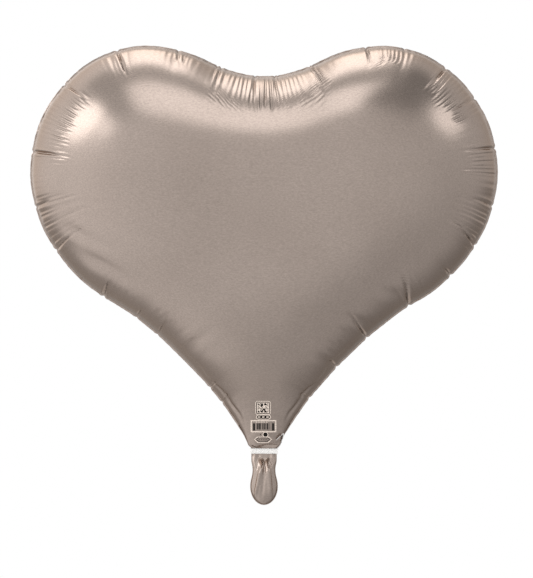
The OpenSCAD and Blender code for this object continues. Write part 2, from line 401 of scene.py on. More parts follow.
def crease_field(s, d):
    """Inward groove of each crease, with the foil swelling a little on both sides."""
    total = np.zeros_like(d)
    for place, reach, slant, depth, width in CREASES:
        reach, slant, depth, width = (v * MM for v in (reach, slant, depth, width))
        t = np.clip(d / reach, 0, 1)
        off = np.abs(s - place * MM - math.copysign(1, place) * slant * t)
        groove = np.exp(-(off / (0.55 * width)) ** 1.3)
        swell = np.exp(-((off - 1.7 * width) / (0.9 * width)) ** 2)
        total += depth * (1 - t * t) ** 1.2 * (0.40 * swell - groove)
    return total


def comb_field(s, d, rng):
    """Rows of fine grooves square to the rim, each ending at its own distance."""
    total = np.zeros_like(d)
    for start, stop, reach, pitch, depth in COMBS:
        at = start
        while at < stop:
            step = pitch * rng.uniform(0.7, 1.35)
            own_reach = reach * rng.uniform(0.70, 1.1)
            own_depth = depth * rng.uniform(0.45, 1.25)
            own_depth *= min(1, (at - start + 5) / 12, (stop - at + 5) / 12)
            lean, width = rng.uniform(-1.2, 1.2), 0.24 * pitch * rng.uniform(0.8, 1.2)
            t = np.clip(d / (own_reach * MM), 0, 1)
            off = (s / MM - at - lean * t) / width
            near = (np.abs(off) < 5) & (t < 1)
            along = smoothstep(t[near], 0.0, 0.1) * (1 - t[near] ** 6)
            along *= 0.45 + 0.55 * smoothstep(t[near], 0.35, 0.75)
            off = np.abs(off[near])
            total[near] += own_depth * MM * along * (0.30 * np.exp(-((off - 2.0) / 0.9) ** 2)
                                                     - np.exp(-off ** 2))
            at += step
    return total


def scallop_field(s, d):
    """The foil swells outward between one crease and the next."""
    places = np.sort(np.array([c[0] for c in CREASES] + [-880, 880])) * MM
    k = np.clip(np.searchsorted(places, s, "right") - 1, 0, len(places) - 2)
    gap = places[k + 1] - places[k]
    t = np.clip((s - places[k]) / gap, 0, 1)
    height = np.clip(gap * 0.035, 0, 2.2 * MM)
    return height * np.sin(np.pi * t) ** 0.8 * np.exp(-(d / (26 * MM)) ** 2)


def soft_forms(x, z):
    """Broad unevenness of the gas-filled foil: the lobes lean, and slack folds run off the rim."""
    total = np.zeros_like(x)
    for at_x, at_z, radius, height in ((108, 470, 52, 5.0), (-195, 452, 46, 3.0)):
        away = ((x - at_x * MM) ** 2 + (z - at_z * MM) ** 2) / (radius * MM) ** 2
        total += height * MM * np.exp(-away)
    for x0, z0, x1, z1, half_width, depth in (
            (-235, 262, -150, 215, 7, 1.6), (-262, 300, -190, 262, 6, 1.2),
            (140, 168, 70, 196, 6, 1.6), (182, 205, 120, 228, 6, 1.2),
            (-118, 128, -60, 168, 6, 1.3), (96, 112, 52, 140, 5, 1.2)):
        run = np.array([x1 - x0, z1 - z0]) * MM
        length = np.linalg.norm(run)
        along = ((x - x0 * MM) * run[0] + (z - z0 * MM) * run[1]) / length ** 2
        off = ((x - x0 * MM) * run[1] - (z - z0 * MM) * run[0]) / length / (half_width * MM)
        fade = smoothstep(along, -0.15, 0.2) * (1 - smoothstep(along, 0.3, 1.1))
        total -= depth * MM * fade * (np.exp(-off ** 2) - 0.5 * np.exp(-(np.abs(off) - 2) ** 2))
    return total


def flank_fold(z, d, rng):
    """A fold beside the seam on both sides of the tip."""
    zone = smoothstep(z, 26 * MM, 60 * MM) * (1 - smoothstep(z, 110 * MM, 165 * MM))
    wander = (6.5 + 1.2 * wave_noise(z, rng, 45 * MM, 3)) * MM
    return -2.0 * MM * zone * np.exp(-((d - wander) / (2.6 * MM)) ** 2)


def neck_pleats(x, z, rng):
    """Gathers that fan up and down from the tie."""
    above = np.exp(-np.clip(z, 0, None) / (11 * MM)) * smoothstep(z, 0, 5 * MM)
    below = np.exp(-np.clip(-z - 8 * MM, 0, None) / (12 * MM)) * smoothstep(-z, 3 * MM, 5 * MM)
    fan = x / (1 + np.clip(z, 0, None) / (40 * MM))
    fold_above = wave_noise(fan, rng, 8 * MM, 4)
    fold_below = wave_noise(x + 0.10 * np.abs(z), rng, 7.5 * MM, 5)
    return 0.28 * MM * fold_above * above + 0.55 * MM * fold_below * below


def tie_folds(x, z):
    """The flat folds just above the ribbon, deepest right of the middle."""
    total = np.zeros_like(x)
    for middle_x, half_x, middle_z, tilt, depth in (
            (8, 11, 6.6, 0.05, 3.6), (13, 8, 10.2, 0.16, 1.3), (-14, 7, 5.2, -0.25, 1.4)):
        off = (z - middle_z * MM - tilt * (x - middle_x * MM)) / (1.5 * MM)
        window = np.exp(-((x - middle_x * MM) / (half_x * MM)) ** 4)
        total -= depth * MM * np.exp(-off ** 2) * window
    return total


def tail_folds(x, z):
    """Long soft ridges that run down the tail: place at the top and bottom, height and width."""
    t = np.clip((-z - 20 * MM) / (46 * MM), 0, 1)
    fade = smoothstep(-z, 9 * MM, 24 * MM) * (1 - smoothstep(-z, 50 * MM, 66 * MM))
    total = np.zeros_like(x)
    for top, bottom, height, width in ((-2, -13, 2.3, 2.2), (5, 9, 1.9, 2.6), (-9, -16, -1.5, 2.5),
                                       (1.5, -3, -1.7, 2.4), (10, 14, -1.4, 2.4)):
        middle = (top + (bottom - top) * t ** 0.8) * MM
        total += height * MM * np.exp(-((x - middle) / (width * MM)) ** 2)
    return total * fade


def crumple(x, z, rng):
    """Small irregular facets on the top of the tail."""
    zone = smoothstep(-z, 5 * MM, 10 * MM) * (1 - smoothstep(-z, 15 * MM, 26 * MM))
    total = np.zeros_like(x)
    for _ in range(5):
        a = rng.uniform(-0.5, 0.5)
        pitch = rng.uniform(6, 12) * MM
        phase = rng.uniform(0, 1)
        across = (x * math.cos(a) + z * math.sin(a)) / pitch + phase
        total += np.abs((across % 1) - 0.5) * 2 - 0.5
    return 0.55 * MM * total * zone


# ---- Foil meshes ----
def grid_normals(px, py, pz):
    du = [np.gradient(v, axis=0) for v in (px, py, pz)]
    dv = [np.gradient(v, axis=1) for v in (px, py, pz)]
    n = np.stack([du[1] * dv[2] - du[2] * dv[1], du[2] * dv[0] - du[0] * dv[2],
                  du[0] * dv[1] - du[1] * dv[0]], -1)
    return n / np.maximum(np.linalg.norm(n, axis=-1, keepdims=True), 1e-12)


def foil_half(rows, base, mirror, side, seed):
    """One half of one foil, its x kept positive: a grid of points from the seam inward."""
    rng = np.random.default_rng(seed)
    px, pz, thick, s, d = base
    py = -thick
    d = np.clip(d - rows.margin[:, None], 0, None)
    normal = grid_normals(px, py, pz)
    normal *= np.where(normal[..., 1:2] > 0, -1, 1)
    normal[:, 0] = np.stack([rows.out[:, 0], np.zeros(rows.count), rows.out[:, 1]], 1)
    normal[0, :, 0] = normal[-1, :, 0] = normal[:, -1, 0] = 0
    s, x = s * mirror, px * mirror
    move = crease_field(s, d) + comb_field(s, d, rng) + scallop_field(s, d)
    move += 0.16 * MM * wave_noise(s, rng, 11 * MM) * np.exp(-d / (14 * MM))
    move += soft_forms(x, pz) * smoothstep(d, 0, 12 * MM) + flank_fold(pz, d, rng)
    # the welded margin holds the rim, so the creases are shallower there
    move *= smoothstep(pz, 6 * MM, 30 * MM) * (0.5 + 0.5 * smoothstep(d, 0, 7 * MM))
    inside = smoothstep(d, 0.3 * MM, 2.5 * MM)
    if side > 0:
        # the back stays even round the filling hole, where the valve is bonded to it
        inside *= smoothstep(np.hypot(x, pz - BULB_Z), 7 * MM, 15 * MM)
    move += (neck_pleats(x, pz, rng) + crumple(x, pz, rng)) * inside
    move += (tie_folds(x, pz) + tail_folds(x, pz)) * inside
    points = np.stack([px, py, pz], -1) + normal * move[..., None]
    points[..., 1] = np.minimum(points[..., 1], -0.3 * MM * smoothstep(d, 0, 2 * MM))
    return points


SHARED_EDGES = (np.s_[:, -1], np.s_[0], np.s_[-1])


def whole_foil(rows, base, side, seed):
    """Both halves of one foil, which share their middle line and their first and last rows."""
    right = foil_half(rows, base, 1, side, seed)
    left = foil_half(rows, base, -1, side, seed)
    left[..., 0] *= -1
    for edge in SHARED_EDGES:
        shared = (right[edge] + left[edge]) / 2
        shared[:, 0] = 0
        right[edge] = left[edge] = shared
    right[..., 1] *= -side
    left[..., 1] *= -side
    return right, left


def with_margin(rows, half, mirror, flutter):
    """The half with two more lines outside its seam: the margin, with a little flutter."""
    seam = half[:, 0]
    out = np.stack([rows.out[:, 0] * mirror, np.zeros(rows.count), rows.out[:, 1]], 1)
    out[0, 0] = out[-1, 0] = 0
    lines = []
    for share in (1.0, 0.5):
        p = seam + out * (rows.margin * share)[:, None]
        p[:, 1] = seam[:, 1] + mirror * flutter * share ** 2
        lines.append(p)
    return np.concatenate([np.stack(lines, 1), half], 1)


def sheet_mesh(name, right, left, toward, hole=None):
    """A closed thin sheet from the two halves' grids, which share the middle line and ends."""
    rows, cols = right.shape[:2]
    index_r = np.arange(rows * cols).reshape(rows, cols)
    index_l = index_r + rows * cols
    for edge in SHARED_EDGES:
        index_l[edge] = index_r[edge]
    points = np.concatenate([right.reshape(-1, 3), left.reshape(-1, 3)])

    faces = np.concatenate([grid_faces(index_r)[:, ::-toward], grid_faces(index_l)[:, ::toward]])
    if hole:
        faces = punch(points, faces, *hole)
    return closed_sheet(name, points, points - point_normals(points, faces) * FILM_T, faces)


def punch(points, faces, centre_x, centre_z, radius):
    """Leaves out the faces inside a round hole and moves the points at its edge onto it."""
    off = points[:, [0, 2]] - (centre_x, centre_z)
    inside = np.linalg.norm(off[faces].mean(axis=1), axis=1) < radius
    edge = np.intersect1d(faces[inside], faces[~inside])
    reach = np.linalg.norm(off[edge], axis=1, keepdims=True)
    points[edge[:, None], [0, 2]] = (centre_x, centre_z) + off[edge] / reach * radius
    return faces[~inside]


def closed_sheet(name, outer, inner, faces):
    """Two layers of the same faces, joined by a wall along every free edge."""
    total = len(outer)
    edges = np.stack([faces, np.roll(faces, -1, axis=1)], -1).reshape(-1, 2)
    key, turned = edges[:, 0] * total + edges[:, 1], edges[:, 1] * total + edges[:, 0]
    a, b = edges[~np.isin(key, turned)].T
    walls = np.stack([b, a, a + total, b + total], -1)
    faces = np.concatenate([faces, faces[:, ::-1] + total, walls])
    points = np.concatenate([outer, inner])
    used, faces = np.unique(faces, return_inverse=True)
    return quick_mesh(name, points[used], faces.reshape(-1, 4))


def quick_mesh(name, points, quads):
    mesh = bpy.data.meshes.new(name)
    mesh.vertices.add(len(points))
    mesh.vertices.foreach_set("co", points.astype(np.float32).ravel())
    mesh.loops.add(quads.size)
    mesh.loops.foreach_set("vertex_index", quads.astype(np.int32).ravel())
    mesh.polygons.add(len(quads))
    mesh.polygons.foreach_set("loop_start", np.arange(0, quads.size, 4, dtype=np.int32))
    mesh.polygons.foreach_set("loop_total", np.full(len(quads), 4, np.int32))
    mesh.polygons.foreach_set("use_smooth", np.ones(len(quads), bool))
    mesh.update(calc_edges=True)
    mesh.validate()
    return add_object(name, mesh)


def build_foils():
    rows = Rows()
    shares = station_shares(STATIONS)
    base = half_thickness(rows, shares)
    base += rim_coordinates(base[0], base[1])
    rng = np.random.default_rng(SEED)
    flutter = 0.3 * MM * wave_noise(rows.at, rng, 22 * MM)
    flutter *= smoothstep(rows.rim[:, 1], 5 * MM, 50 * MM)
    made = []
    for name, side, seed in (("front_foil_sheet", -1, 20), ("back_foil_sheet", 1, 40)):
        right, left = whole_foil(rows, base, side, seed)
        right[:, 0, 1] = left[:, 0, 1] = side * FILM_T * 0.55
        right, left = with_margin(rows, right, 1, flutter), with_margin(rows, left, -1, flutter)
        hole = (0, BULB_Z, HOLE_R) if side > 0 else None
        made.append(sheet_mesh(name, right, left, side, hole))
    return made


# ---- Tie ribbon: flat turns round the neck, a knot behind and two cut ends ----
def smooth_path(knots, count):
    """Points evenly spread along a smooth curve through the knots."""
    knots = np.asarray(knots, float)
    dense = cubic_sample(knots, np.linspace(0, len(knots) - 1, 40 * len(knots)), 0)
    at = arc_length(dense)
    even = np.linspace(0, at[-1], count)
    return np.stack([np.interp(even, at, dense[:, k]) for k in range(3)], 1)


def ribbon_strip(path, widths, across, closed=False, slant=0.0, ribs=13):
    """Points and faces of a thin ribbed strip; across gives its width's direction at each point."""
    n = len(path)
    tangent = np.roll(path, -1, 0) - np.roll(path, 1, 0) if closed else np.gradient(path, axis=0)
    tangent /= np.linalg.norm(tangent, axis=1)[:, None]
    across = across - (across * tangent).sum(1)[:, None] * tangent
    across /= np.linalg.norm(across, axis=1)[:, None]
    normal = np.cross(tangent, across)
    share = np.linspace(-0.5, 0.5, 2 * ribs + 1)
    ridge = 0.05 * MM * (np.arange(2 * ribs + 1) % 2)
    place = path[:, None] + across[:, None] * (share[None, :, None] * widths[:, None, None])
    cut = np.zeros((n, 1, 1))
    cut[-1] = slant * MM
    place = place + tangent[:, None] * share[None, :, None] * cut
    outer = place + normal[:, None] * (RIBBON_T / 2 + ridge)[None, :, None]
    inner = place - normal[:, None] * (RIBBON_T / 2 - ridge)[None, :, None]
    index = np.arange(n * len(share)).reshape(n, -1)
    if closed:
        index = np.concatenate([index, index[:1]])
    return outer.reshape(-1, 3), inner.reshape(-1, 3), grid_faces(index, flip=True)[:, ::-1]


def neck_turns():
    """The ribbon's path round the flattened neck, from the knot and back to it."""
    turns, count = 2.12, 260
    t = np.linspace(0, 1, count)
    half_w, half_d = NECK_HALF_W + 0.9 * MM, 1.55 * MM
    angle = 2 * np.pi * turns * t + np.arctan2(half_d, KNOT.x)
    grown = 0.42 * MM * turns * t
    # a stadium: flat on the front and the back, round at the two sides
    c, s = np.cos(angle), np.sin(angle)
    flat = np.sign(s) * np.abs(s) ** 0.22
    path = np.stack([(half_w + grown) * c, (half_d + grown) * flat,
                     0.55 * MM * np.sin(2 * np.pi * 0.7 * t + 0.5)], 1)
    lean = 0.05 * np.sin(2 * np.pi * 1.3 * t)
    across = np.stack([lean, np.zeros(count), np.ones(count)], 1)
    return path, np.full(count, RIBBON_W), across


def knot_loop():
    """One pass of the ribbon over its own turns, drawn tight at the back."""
    count = 60
    a = np.linspace(0, 2 * np.pi, count, endpoint=False)
    path = np.stack([KNOT.x + 0.5 * MM * np.sin(2 * a), KNOT.y + 1.5 * MM * np.cos(a),
                     3.9 * MM * np.sin(a)], 1)
    across = np.stack([np.ones(count), np.zeros(count), 0.25 * np.cos(a)], 1)
    return path, (4.3 + 0.9 * np.cos(a)) * MM, across


def ribbon_end(knots, start_across, end_across, slant):
    path = smooth_path(np.array(knots) * MM, 70)
    t = np.linspace(0, 1, len(path))[:, None]
    across = mix(np.array(start_across), np.array(end_across), t)
    widths = RIBBON_W * (0.62 + 0.38 * smoothstep(t[:, 0], 0, 0.25))
    return path, widths, across, False, slant


def build_ribbon():
    side_end = [(KNOT.x / MM + 0.5, 5.0, 1.0), (13, 5.8, 3.5), (18.5, 5.8, 6.5), (23.0, 3.0, 11),
                (25.4, -2.0, 17), (25.6, -6.0, 21.6), (23.4, -8.0, 21.4), (16.6, -7.6, 14.8)]
    back_end = [(KNOT.x / MM - 0.5, 5.0, 1.0), (6.8, 9, 5), (5.6, 13.5, 8.8), (4.6, 17, 13),
                (4.3, 18.4, 18.5)]
    strips = [
        ribbon_strip(*neck_turns()),
        ribbon_strip(*knot_loop(), closed=True),
        ribbon_strip(*ribbon_end(side_end, (0.2, 0.3, 1), (0.18, 1.0, -0.12), 3.0)),
        ribbon_strip(*ribbon_end(back_end, (1, 0, 0.2), (0.9, 0.35, 0.2), 2.5)),
    ]
    outer, inner, faces = zip(*strips)
    starts = np.cumsum([0] + [len(points) for points in outer])
    faces = [f + start for f, start in zip(faces, starts)]
    return closed_sheet("ribbon_tie", *map(np.concatenate, (outer, inner, faces)))


# ---- Valve: two flat films above the tie and the soft sleeve below it ----
def build_valve_film(node, name, side):
    """One film of the valve, pressed against the other, with its seal lines and small waves."""
    low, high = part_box(node)
    rng = np.random.default_rng(SEED)
    nx, nz = 41, 121
    u, v = np.meshgrid(np.linspace(-1, 1, nx), np.linspace(0, 1, nz))
    z = low.z + v * (high.z - low.z)
    free = smoothstep(z, 8 * MM, 60 * MM)
    wave = 0.5 * wave_noise(z, rng, 42 * MM) + 0.3 * u * wave_noise(z, rng, 30 * MM)
    # the two seal lines near the long edges, and the film standing off a little between them
    seal = np.exp(-((np.abs(u) - 0.84) / 0.035) ** 2)
    belly = (0.05 + 0.55 * free) * MM * (1 - u ** 2) ** 2
    y = 1.6 * MM * free * wave + side * (0.10 * MM + belly + 0.05 * MM * seal)
    x = high.x * (u + 0.01 * np.sin(9 * v + 2) * (np.abs(u) > 0.99))
    points = np.stack([x, y, z], -1).reshape(-1, 3)
    index = np.arange(nx * nz).reshape(nz, nx)
    faces = grid_faces(index, flip=True)
    step = np.array([0, side * VALVE_FILM_T, 0])
    return closed_sheet(name, points - step, points, faces if side > 0 else faces[:, ::-1])


def build_sleeve():
    """The valve's mouth: flat at the fold, round where it is bonded inside the filling hole."""
    _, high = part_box("valve_inlet_sleeve")
    rng = np.random.default_rng(SEED + 1)
    mouth = np.array([0, high.y - 0.15 * MM, BULB_Z])
    top = np.array([0, 0, high.z])
    mouth_r, flat_t = 5.8 * MM, 0.22 * MM
    sections, count = 48, 72
    a = np.linspace(0, 2 * np.pi, count, endpoint=False)
    rings = []
    for t in np.linspace(0, 1, sections):
        ease = smoothstep(t, 0, 1)
        centre = mix(mix(top, mouth, t), top * (1 - t) + mouth * t ** 0.8, ease)
        turn = math.pi / 2 * ease
        wave = wave_noise(a * 4 * MM + t * 3 * MM, rng, 6 * MM, 3)
        ripple = 1 + 0.03 * wave * math.sin(math.pi * t)
        c = np.cos(a) * mix(high.x, mouth_r, ease) * ripple
        s = np.sin(a) * mix(flat_t, mouth_r, ease) * ripple
        rings.append(centre + np.stack([c, s * math.cos(turn), s * math.sin(turn)], -1))
    # the bonded flange turns inward round the hole
    for radius in (5.4, 5.0, 4.6, 4.25):
        rings.append(mouth + np.stack([np.cos(a), 0 * a, np.sin(a)], -1) * radius * MM)
    rings = np.array(rings)
    n = len(rings)
    index = np.arange(n * count).reshape(n, count)
    index = np.concatenate([index, index[:, :1]], 1)
    faces = grid_faces(index, flip=True)
    points = rings.reshape(-1, 3)
    inner = points - point_normals(points, faces) * VALVE_FILM_T
    return closed_sheet("valve_sleeve", points, inner, faces)


# ---- Prints near the tip: thin ink skins that lie on the front foil ----
def rounded_loop(x0, x1, z0, z1, radius, steps=6):
    """Corner-rounded rectangle, counter-clockwise as seen from the front."""
    loop = []
    for cx, cz, start in ((x1 - radius, z1 - radius, 0), (x0 + radius, z1 - radius, 90),
                          (x0 + radius, z0 + radius, 180), (x1 - radius, z0 + radius, 270)):
        for k in range(steps + 1):
            a = math.radians(start + 90 * k / steps)
            loop.append((cx + radius * math.cos(a), cz + radius * math.sin(a)))
    return loop


def disc_loop(cx, cz, radius, steps=40):
    angles = [2 * math.pi * k / steps for k in range(steps)]
    return [(cx + radius * math.cos(a), cz + radius * math.sin(a)) for a in angles]


def badge_loop(inset):
    """Six-cornered badge, its sides drawn in by inset."""
    x0, x1, z0, z1 = -13.3 + inset, 10.6 - inset, 11.2 + inset * 0.8, 19.5 - inset * 0.8
    mid = (z0 + z1) / 2 + 0.6
    return [(x1, mid), (x1 - 4, z1), (x0 + 4, z1), (x0, mid), (x0 + 4.6, z0), (x1 - 4.6, z0)]


class Ink:
    """Flat shapes in millimetres that are then laid on the foil as one thin skin."""

    def __init__(self):
        self.bm = bmesh.new()

    def corners(self, loop):
        return [self.bm.verts.new((x * MM, 0, z * MM)) for x, z in loop]

    def fill(self, loop):
        self.bm.faces.new(self.corners(loop))

    def box(self, x0, x1, z0, z1):
        self.fill([(x1, z1), (x0, z1), (x0, z0), (x1, z0)])

    def ring(self, outer, inner):
        outer, inner = self.corners(outer), self.corners(inner)
        for k in range(len(outer)):
            j = (k + 1) % len(outer)
            self.bm.faces.new([outer[k], outer[j], inner[j], inner[k]])

    def lay(self, name, foil):
        """Cuts the shapes into small cells and drops every corner on the foil."""
        bm, cell = self.bm, 1.6 * MM
        stand_off, ink_t = 0.07 * MM, 0.04 * MM
        for axis, low, high in ((0, -18, 18), (2, 10, 70)):
            for k in range(int(low * MM / cell), int(high * MM / cell) + 1):
                at, normal = [0, 0, 0], [0, 0, 0]
                at[axis], normal[axis] = k * cell, 1
                bmesh.ops.bisect_plane(bm, geom=bm.verts[:] + bm.edges[:] + bm.faces[:],
                                       plane_co=at, plane_no=normal)
        for vert in bm.verts:
            _, place, _, _ = foil.ray_cast((vert.co.x, -0.2, vert.co.z), (0, 1, 0))
            vert.co = place + Vector((0, -stand_off, 0))
        bmesh.ops.recalc_face_normals(bm, faces=bm.faces[:])
        if sum(f.normal.y * f.calc_area() for f in bm.faces) >= 0:      # they face the back
            bmesh.ops.reverse_faces(bm, faces=bm.faces[:])
        bmesh.ops.solidify(bm, geom=bm.faces[:], thickness=ink_t)
        mesh = bpy.data.meshes.new(name)
        bm.to_mesh(mesh)
        bm.free()
        return add_object(name, mesh)


def draw_matrix(dark, light):
    """Panel with a light rim, a dark line and a made-up pattern of cells."""
    x0, x1, z0, z1 = -11.4, 9.0, 49.2, 67.9
    columns, levels, border = 10, 9, 3.1

    def inset(d):
        return rounded_loop(x0 + d, x1 - d, z0 + d, z1 - d, max(2.8 - d, 0.5))
    light.ring(inset(0), inset(0.9))
    dark.ring(inset(0.9), inset(1.7))
    light.ring(inset(2.3), inset(border))
    low_x, low_z = x0 + border, z0 + border
    cell_w, cell_h = (x1 - border - low_x) / columns, (z1 - border - low_z) / levels
    for i in range(columns):
        for j in range(levels):
            ink = dark if (i * i + 3 * j + i * j * j) % 7 < 4 else light
            x, z = low_x + i * cell_w, low_z + j * cell_h
            ink.box(x, x + cell_w, z, z + cell_h)


def draw_pill(dark, light):
    """Pill with three light dashes."""
    rim = rounded_loop(-9.5, 8.1, 43.8, 48.4, 2.29)
    light.ring(rounded_loop(-10.5, 9.1, 42.9, 49.2, 3.1), rim)
    dark.ring(rim, rounded_loop(-8.3, 6.9, 45.2, 47.0, 0.89))
    pitch = 5.6
    for k in range(3):
        light.fill(rounded_loop(-8.0 + pitch * k, -5.0 + pitch * k, 45.4, 46.8, 0.69))
        if k < 2:
            dark.box(-4.7 + pitch * k, -2.7 + pitch * k, 45.2, 47.0)


def draw_bars(dark, light):
    """Light frame with bars of made-up widths: start and width of each."""
    light.ring(rounded_loop(-17.7, 16.4, 25.5, 41.9, 0.3),
               rounded_loop(-16.1, 14.9, 27.0, 40.4, 0.3))
    bars = [(0, 2.7), (4.9, 1.5), (6.9, 0.8), (8.2, 2.0), (12.0, 0.9), (13.6, 0.7), (15.0, 1.3),
            (17.0, 0.6), (18.6, 1.7), (21.5, 0.4), (25.4, 2.6)]
    first_x = -14.6
    for k, (start, width) in enumerate(bars):
        low = 27.6 if k in (0, len(bars) - 1) else 29.2
        dark.box(first_x + start, first_x + start + width, low, 37.6)
    for k in range(5):
        x = -11 + 3.4 * k
        light.box(x, x + 2.0 - 0.25 * (k % 2), 38.6, 39.5)


def draw_badge(dark, light):
    """Round mark, and below it a six-cornered badge with dashes."""
    dot = disc_loop(1.9, 22.3, 2.9)
    dark.fill(dot)
    light.ring(disc_loop(1.9, 22.3, 3.8), dot)
    dark.box(-5.2, -4.2, 21.4, 23.2)
    light.ring(badge_loop(0), badge_loop(1.1))
    dark.ring(badge_loop(1.7), badge_loop(2.5))
    for k in range(4):
        dark.box(-7 + 3.0 * k, -5.4 + 3.0 * k, 15.0, 15.7)


def build_prints(foil):
    dark, light = Ink(), Ink()
    for draw in (draw_matrix, draw_pill, draw_bars, draw_badge):
        draw(dark, light)
    return dark.lay("print_dark_ink", foil), light.lay("print_light_ink", foil)


# ---- Materials ----
FOIL_TINTS = ((0.420, 0.345, 0.302), (0.462, 0.382, 0.336))


def new_material(name):
    material = bpy.data.materials.new(name)
    material.use_nodes = True
    tree = material.node_tree
    return material, tree, tree.nodes["Principled BSDF"]


def set_inputs(node, values):
    for name, value in values.items():
        node.inputs[name].default_value = value


def object_noise(tree, scale, detail=2.0, roughness=0.5, stretch=None):
    """Noise that stays fixed to its piece, sampled in coordinates scaled by stretch."""
    place = tree.nodes.new("ShaderNodeTexCoord").outputs["Object"]
    if stretch:
        mapping = tree.nodes.new("ShaderNodeMapping")
        set_inputs(mapping, {"Scale": stretch})
        tree.links.new(place, mapping.inputs["Vector"])
        place = mapping.outputs["Vector"]
    noise = tree.nodes.new("ShaderNodeTexNoise")
    set_inputs(noise, {"Scale": scale, "Detail": detail, "Roughness": roughness})
    tree.links.new(place, noise.inputs["Vector"])
    return noise.outputs["Fac"]


def colour_range(tree, value, low, high, start=0.0, stop=1.0):
    """A colour that goes from low to high while the value goes from start to stop."""
    ramp = tree.nodes.new("ShaderNodeValToRGB")
    for element, place, colour in zip(ramp.color_ramp.elements, (start, stop), (low, high)):
        element.position = place
        element.color = (*colour, 1)
    tree.links.new(value, ramp.inputs["Fac"])
    return ramp.outputs["Color"]


def vary_roughness(tree, shader, value, low, high):
    spread = tree.nodes.new("ShaderNodeMapRange")
    set_inputs(spread, {"To Min": low, "To Max": high})
    tree.links.new(value, spread.inputs["Value"])
    tree.links.new(spread.outputs["Result"], shader.inputs["Roughness"])


def add_bump(tree, shader, height, strength, distance):
    bump = tree.nodes.new("ShaderNodeBump")
    set_inputs(bump, {"Strength": strength, "Distance": distance})
    tree.links.new(height, bump.inputs["Height"])
    tree.links.new(bump.outputs["Normal"], shader.inputs["Normal"])


def foil_material():
    """Satin metallised film: fine grain drawn out sideways, over a slow drift of tint."""
    material, tree, shader = new_material("satin_foil")
    set_inputs(shader, {"Metallic": 1.0, "Specular Tint": (0.74, 0.66, 0.60, 1)})
    grain = object_noise(tree, 620, detail=4, roughness=0.7, stretch=(0.45, 1, 1))
    cloud = object_noise(tree, 9, detail=4)
    speck = tree.nodes.new("ShaderNodeMix")
    speck.data_type = "RGBA"
    speck.blend_type = "MULTIPLY"
    set_inputs(speck, {"Factor": 1.0})
    tree.links.new(colour_range(tree, cloud, *FOIL_TINTS, 0.3, 0.7), speck.inputs["A"])
    shade = colour_range(tree, grain, (0.80,) * 3, (1.0,) * 3, 0.34, 0.66)
    tree.links.new(shade, speck.inputs["B"])
    tree.links.new(speck.outputs["Result"], shader.inputs["Base Color"])
    vary_roughness(tree, shader, cloud, 0.20, 0.27)
    add_bump(tree, shader, grain, 0.16, 0.4 * MM)
    return material


def ribbon_material():
    """White curling ribbon: satin, with a faint cross grain."""
    material, tree, shader = new_material("white_ribbon")
    noise = object_noise(tree, 1600)
    colour = colour_range(tree, noise, (0.86, 0.84, 0.81), (0.93, 0.92, 0.91))
    tree.links.new(colour, shader.inputs["Base Color"])
    set_inputs(shader, {"Roughness": 0.38, "Sheen Weight": 0.2})
    add_bump(tree, shader, noise, 0.25, 0.1 * MM)
    return material


def film_material():
    """Thin clear polyethylene, milky where it is rough."""
    material, tree, shader = new_material("clear_film")
    noise = object_noise(tree, 220, detail=4)
    vary_roughness(tree, shader, noise, 0.16, 0.42)
    set_inputs(shader, {"Base Color": (0.90, 0.92, 0.92, 1), "IOR": 1.5,
                        "Transmission Weight": 0.75})
    add_bump(tree, shader, noise, 0.3, 0.2 * MM)
    return material


def ink_material(name, colour, worn):
    """Printed ink, a little uneven where the foil shows through."""
    material, tree, shader = new_material(name)
    noise = object_noise(tree, 900, detail=3)
    tree.links.new(colour_range(tree, noise, worn, colour, 0.35, 0.6), shader.inputs["Base Color"])
    set_inputs(shader, {"Roughness": 0.6, "Specular IOR Level": 0.12})
    return material


def floor_material():
    material, _, shader = new_material("pale_floor")
    set_inputs(shader, {"Base Color": (0.9, 0.9, 0.9, 1), "Roughness": 0.8})
    return material


# ---- Studio ----
STUDIO_LEVEL = 1.64
FLOOR_Z = -0.45
FLOOR_HALF = 3.0
# Patches of the room, each drawn over the ones before it: its level; from where to where it
# reaches round the view axis, and how softly; and the same away from the axis, in degrees. Two
# numbers in the last place are where a patch starts to show and where it is full.
PATCHES = [
    # behind the balloon: dark below, pale at the upper left
    (0.30, (98, 166, 6), (88, 132)),
    (0.42, (-164, -104, 6), (96, 130)),
    (1.0, (-62, -20, 5), (104, 116)),
    # dark gaps beside the overhead softbox
    (0.54, (-44, -17, 4), (44, 106, 8)),
    (0.25, (17, 43, 5), (56, 108, 13)),
    # overhead softbox in two lengths, with a dim gap between them
    (1.50, (-17, 15, 4), (45, 82, 6)),
    (0.58, (-17, 15, 4), (85, 101, 4)),
    (2.3, (-18, 12, 5), (105, 148, 5)),
]
# Side lights and the spill of the left one: middle, reach across and up, and level.
SIDE_LIGHTS = [(-68, 42, 21, 19, 2.5), (-45, 29, 10, 9, 1.7), (66, 45, 17, 15, 1.45)]


